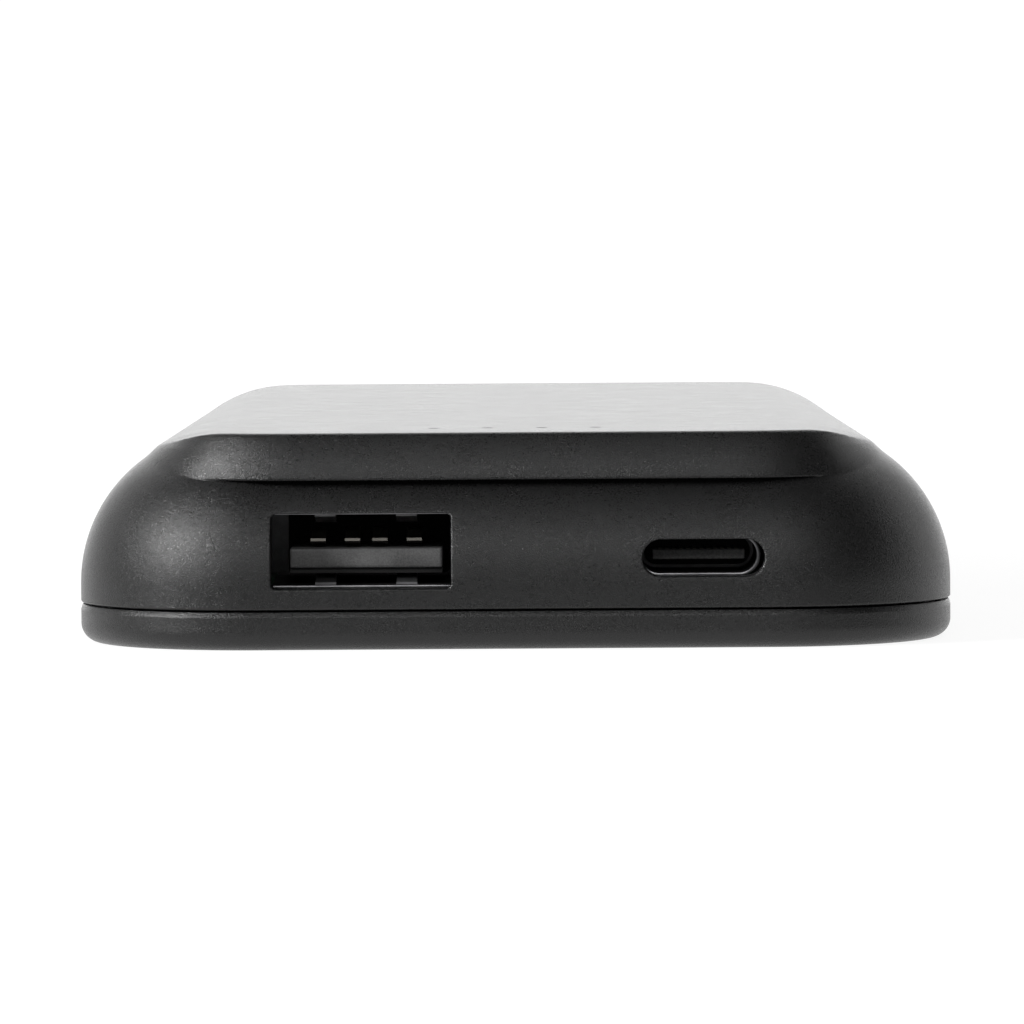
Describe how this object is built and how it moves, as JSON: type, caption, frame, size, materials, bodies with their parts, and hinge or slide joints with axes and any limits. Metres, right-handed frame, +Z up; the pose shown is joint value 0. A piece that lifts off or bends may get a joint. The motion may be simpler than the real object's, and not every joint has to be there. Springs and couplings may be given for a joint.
{
  "type": "power bank",
  "caption": "Slim black power bank with domed sides, a visor over a USB-A and a USB-C port, charge lights and a side button.",
  "frame": {"origin": "centre of the footprint, on the surface the pack rests on", "axes": "+X to the right of the port end, +Y towards the rear, +Z up through the top face"},
  "size_m": [0.0644, 0.14, 0.0156],
  "materials": {
    "casing_plastic": "fine spark-eroded texture",
    "button_plastic": "fine spark-eroded texture",
    "black_resin": "moulded resin",
    "steel_sheet": "nickel plated",
    "gold_contact": "gold plated",
    "board_laminate": "solder mask",
    "clear_plastic": "clear moulding",
    "led_resin": "cast resin",
    "ferrite": "pressed powder",
    "capacitor_ceramic": "fired",
    "cell_foil": "laminated foil",
    "nickel_strip": "rolled nickel",
    "tape": "double-sided tape",
    "foam": "closed-cell foam",
    "lead_red": "silicone",
    "lead_black": "silicone"
  },
  "bodies": {
    "pack": {"top_shell": "casing_plastic", "bottom_cover": "casing_plastic", "switch_body": "black_resin", "usb_a_shell": "steel_sheet", "usb_a_tongue": "black_resin", "usb_a_contact_1": "gold_contact", "usb_a_contact_2": "gold_contact", "usb_a_contact_3": "gold_contact", "usb_a_contact_4": "gold_contact", "usb_c_shell": "steel_sheet", "usb_c_tongue": "black_resin", "main_board": "board_laminate", "board_screw_left": "steel_sheet", "board_screw_right": "steel_sheet", "power_inductor": "ferrite", "controller_chip": "black_resin", "protection_chip": "black_resin", "capacitor_1": "capacitor_ceramic", "capacitor_2": "capacitor_ceramic", "capacitor_3": "capacitor_ceramic", "light_guide": "clear_plastic", "indicator_led_1": "led_resin", "indicator_led_2": "led_resin", "indicator_led_3": "led_resin", "indicator_led_4": "led_resin", "cell_lower": "cell_foil", "cell_upper": "cell_foil", "cell_tape": "tape", "cell_foam": "foam", "tab_positive_lower": "nickel_strip", "tab_positive_upper": "nickel_strip", "tab_negative_lower": "nickel_strip", "tab_negative_upper": "nickel_strip", "strip_positive": "nickel_strip", "strip_negative": "nickel_strip", "lead_positive": "lead_red", "lead_negative": "lead_black"},
    "button": {"side_button": "button_plastic", "switch_plunger": "black_resin"}
  },
  "joints": [
    {"name": "button_press", "type": "slide", "parent": "pack", "child": "button", "axis": [-1, 0, 0], "range_m": [0, 0.0003], "stiffness_N_per_m": 3000}
  ]
}
